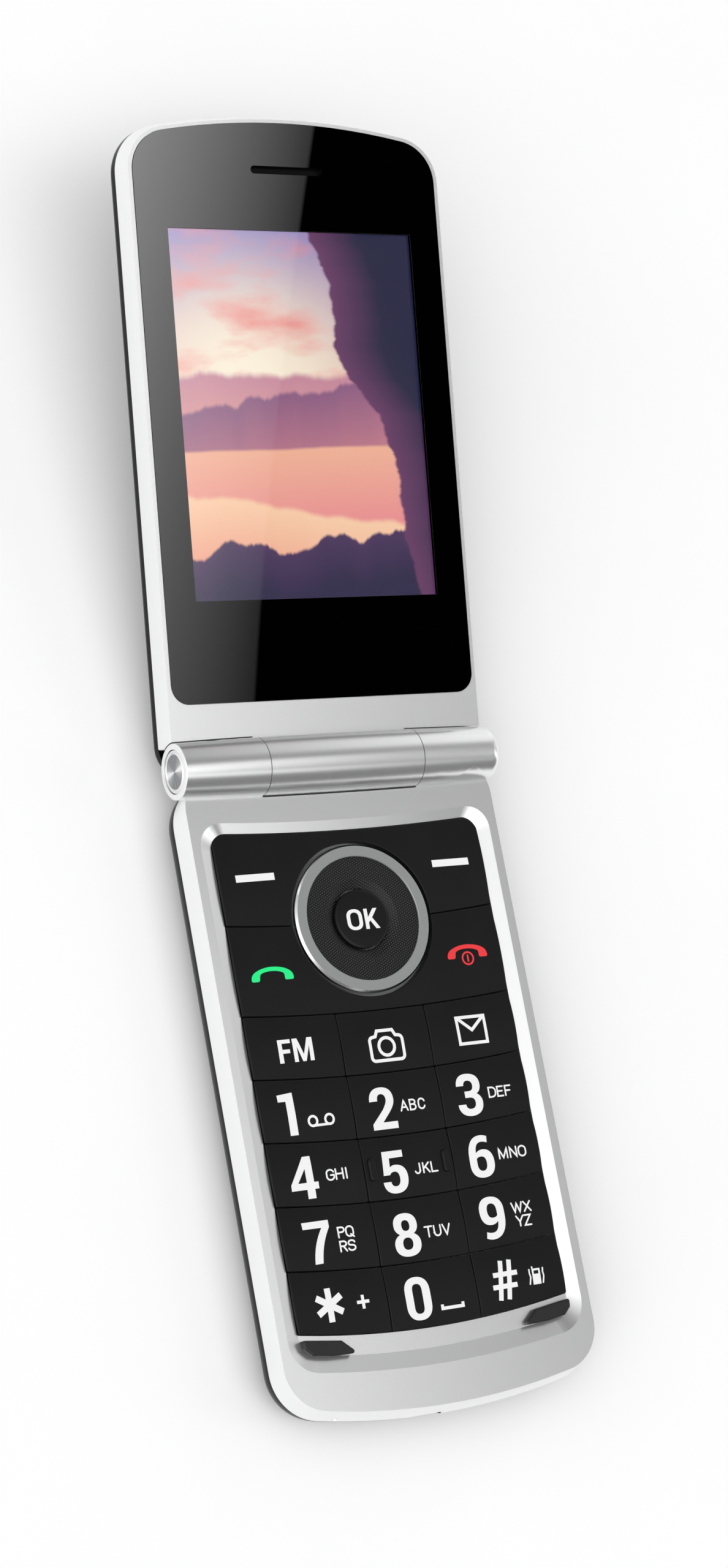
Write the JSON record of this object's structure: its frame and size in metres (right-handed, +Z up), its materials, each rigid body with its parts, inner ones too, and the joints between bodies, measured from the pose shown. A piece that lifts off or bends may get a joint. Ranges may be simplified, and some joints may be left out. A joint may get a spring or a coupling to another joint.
{
  "type": "flip phone",
  "caption": "Clamshell mobile phone with a large-key keypad, round navigation key, hinged lid with display and camera, and a removable battery.",
  "frame": {"origin": "centre of the base's flat back, on the surface it lies on", "axes": "+X to the right of the keypad, +Y from the keypad towards the hinge and the open lid, +Z up out of the keys; the lid is open at its stop, 12.2 degrees above flat"},
  "size_m": [0.0562, 0.2013, 0.0301],
  "materials": {
    "silver_lacquer": "fine metallic silver lacquer on moulded plastic",
    "black_gloss": "moulded gloss black",
    "key_black": "satin lacquered keys with printed legends",
    "nav_grey": "grey lacquered ring",
    "nav_black": "fine raised dot texture",
    "smoked_window": "clear acrylic, printed black behind its border",
    "camera_glass": "polished",
    "display_glass": "liquid crystal cell with its polariser",
    "rubber_black": "moulded",
    "silicone": "translucent moulded silicone",
    "board_green": "glass-fibre laminate with solder mask",
    "black_resin": "moulded",
    "white_resin": "moulded",
    "plated_steel": "nickel plated, stamped or turned",
    "tungsten": "sintered",
    "gold_contact": "gold plated",
    "cell_can": "drawn can in a printed sleeve",
    "spun_metal": "spun face",
    "hinge_resin": "slippery acetal",
    "flex_film": "polyimide film over copper"
  },
  "bodies": {
    "base": {"base_front_housing": "silver_lacquer", "base_rear_housing": "black_gloss", "battery_cover": "black_gloss", "battery": "cell_can", "battery_contacts": "gold_contact", "main_board": "board_green", "board_shields": "plated_steel", "dome_sheet": "plated_steel", "keymat": "silicone", "sim_holder": "plated_steel", "loudspeaker": "black_resin", "vibration_motor": "plated_steel", "microphone": "plated_steel", "antenna": "gold_contact", "usb_socket": "plated_steel", "headphone_jack": "black_resin", "base_screws": "plated_steel", "lid_stop_bumpers": "rubber_black", "hinge_can": "plated_steel", "hinge_spring": "plated_steel", "hinge_end_cap": "spun_metal", "flex_tail": "flex_film"},
    "motor_rotor": {"vibration_weight": "tungsten"},
    "lid": {"lid_front_frame": "silver_lacquer", "lid_rear_cover": "black_gloss", "lid_lens": "smoked_window", "display_panel": "display_glass", "display_tray": "white_resin", "earpiece": "black_resin", "earpiece_mesh": "plated_steel", "lid_board": "board_green", "display_flex": "flex_film", "camera_module": "black_resin", "camera_window": "camera_glass", "lid_magnet": "plated_steel", "hinge_shaft": "plated_steel", "pivot_bush": "hinge_resin", "lid_screws": "plated_steel"},
    "softkey_plate": {"softkey_plate": "key_black"},
    "call_end_plate": {"call_end_plate": "key_black"},
    "nav_pivot": {"nav_pivot_plate": "black_resin"},
    "nav_key": {"nav_ring": "nav_grey", "nav_disc": "nav_black"},
    "ok_key": {"ok_key": "key_black"},
    "fm_key": {"fm_key": "key_black"},
    "camera_key": {"camera_key": "key_black"},
    "message_key": {"message_key": "key_black"},
    "key_1": {"key_1": "key_black"},
    "key_2": {"key_2": "key_black"},
    "key_3": {"key_3": "key_black"},
    "key_4": {"key_4": "key_black"},
    "key_5": {"key_5": "key_black"},
    "key_6": {"key_6": "key_black"},
    "key_7": {"key_7": "key_black"},
    "key_8": {"key_8": "key_black"},
    "key_9": {"key_9": "key_black"},
    "star_key": {"star_key": "key_black"},
    "key_0": {"key_0": "key_black"},
    "hash_key": {"hash_key": "key_black"}
  },
  "joints": [
    {"name": "lid_hinge", "type": "hinge", "parent": "base", "child": "lid", "pos_m": [0, 0.05, 0.0098], "axis": [1, 0, 0], "range_deg": [0, 168.1]},
    {"name": "motor_spin", "type": "hinge", "parent": "base", "child": "motor_rotor", "pos_m": [0.0212, 0.01, 0.00385], "axis": [0, 1, 0], "continuous": true},
    {"name": "softkey_rock", "type": "hinge", "parent": "base", "child": "softkey_plate", "pos_m": [0, 0.032, 0.00805], "axis": [0, 1, 0], "range_deg": [-0.75, 0.75], "stiffness_Nm_per_rad": 0.6},
    {"name": "call_end_rock", "type": "hinge", "parent": "base", "child": "call_end_plate", "pos_m": [0, 0.0177, 0.00805], "axis": [0, 1, 0], "range_deg": [-0.75, 0.75], "stiffness_Nm_per_rad": 0.6},
    {"name": "nav_tilt_up_down", "type": "hinge", "parent": "base", "child": "nav_pivot", "pos_m": [0, 0.02514, 0.00767], "axis": [1, 0, 0], "range_deg": [-2, 2], "stiffness_Nm_per_rad": 0.25},
    {"name": "nav_tilt_left_right", "type": "hinge", "parent": "nav_pivot", "child": "nav_key", "pos_m": [0, 0.02514, 0.00828], "axis": [0, 1, 0], "range_deg": [-2, 2], "stiffness_Nm_per_rad": 0.25},
    {"name": "ok_key_press", "type": "slide", "parent": "base", "child": "ok_key", "axis": [0, 0, 1], "range_m": [-0.0003, 0], "stiffness_N_per_m": 1200, "springref_m": 0.0006},
    {"name": "fm_key_press", "type": "slide", "parent": "base", "child": "fm_key", "axis": [0, 0, 1], "range_m": [-0.0003, 0], "stiffness_N_per_m": 1200, "springref_m": 0.0006},
    {"name": "camera_key_press", "type": "slide", "parent": "base", "child": "camera_key", "axis": [0, 0, 1], "range_m": [-0.0003, 0], "stiffness_N_per_m": 1200, "springref_m": 0.0006},
    {"name": "message_key_press", "type": "slide", "parent": "base", "child": "message_key", "axis": [0, 0, 1], "range_m": [-0.0003, 0], "stiffness_N_per_m": 1200, "springref_m": 0.0006},
    {"name": "key_1_press", "type": "slide", "parent": "base", "child": "key_1", "axis": [0, 0, 1], "range_m": [-0.0003, 0], "stiffness_N_per_m": 1200, "springref_m": 0.0006},
    {"name": "key_2_press", "type": "slide", "parent": "base", "child": "key_2", "axis": [0, 0, 1], "range_m": [-0.0003, 0], "stiffness_N_per_m": 1200, "springref_m": 0.0006},
    {"name": "key_3_press", "type": "slide", "parent": "base", "child": "key_3", "axis": [0, 0, 1], "range_m": [-0.0003, 0], "stiffness_N_per_m": 1200, "springref_m": 0.0006},
    {"name": "key_4_press", "type": "slide", "parent": "base", "child": "key_4", "axis": [0, 0, 1], "range_m": [-0.0003, 0], "stiffness_N_per_m": 1200, "springref_m": 0.0006},
    {"name": "key_5_press", "type": "slide", "parent": "base", "child": "key_5", "axis": [0, 0, 1], "range_m": [-0.0003, 0], "stiffness_N_per_m": 1200, "springref_m": 0.0006},
    {"name": "key_6_press", "type": "slide", "parent": "base", "child": "key_6", "axis": [0, 0, 1], "range_m": [-0.0003, 0], "stiffness_N_per_m": 1200, "springref_m": 0.0006},
    {"name": "key_7_press", "type": "slide", "parent": "base", "child": "key_7", "axis": [0, 0, 1], "range_m": [-0.0003, 0], "stiffness_N_per_m": 1200, "springref_m": 0.0006},
    {"name": "key_8_press", "type": "slide", "parent": "base", "child": "key_8", "axis": [0, 0, 1], "range_m": [-0.0003, 0], "stiffness_N_per_m": 1200, "springref_m": 0.0006},
    {"name": "key_9_press", "type": "slide", "parent": "base", "child": "key_9", "axis": [0, 0, 1], "range_m": [-0.0003, 0], "stiffness_N_per_m": 1200, "springref_m": 0.0006},
    {"name": "star_key_press", "type": "slide", "parent": "base", "child": "star_key", "axis": [0, 0, 1], "range_m": [-0.0003, 0], "stiffness_N_per_m": 1200, "springref_m": 0.0006},
    {"name": "key_0_press", "type": "slide", "parent": "base", "child": "key_0", "axis": [0, 0, 1], "range_m": [-0.0003, 0], "stiffness_N_per_m": 1200, "springref_m": 0.0006},
    {"name": "hash_key_press", "type": "slide", "parent": "base", "child": "hash_key", "axis": [0, 0, 1], "range_m": [-0.0003, 0], "stiffness_N_per_m": 1200, "springref_m": 0.0006}
  ]
}
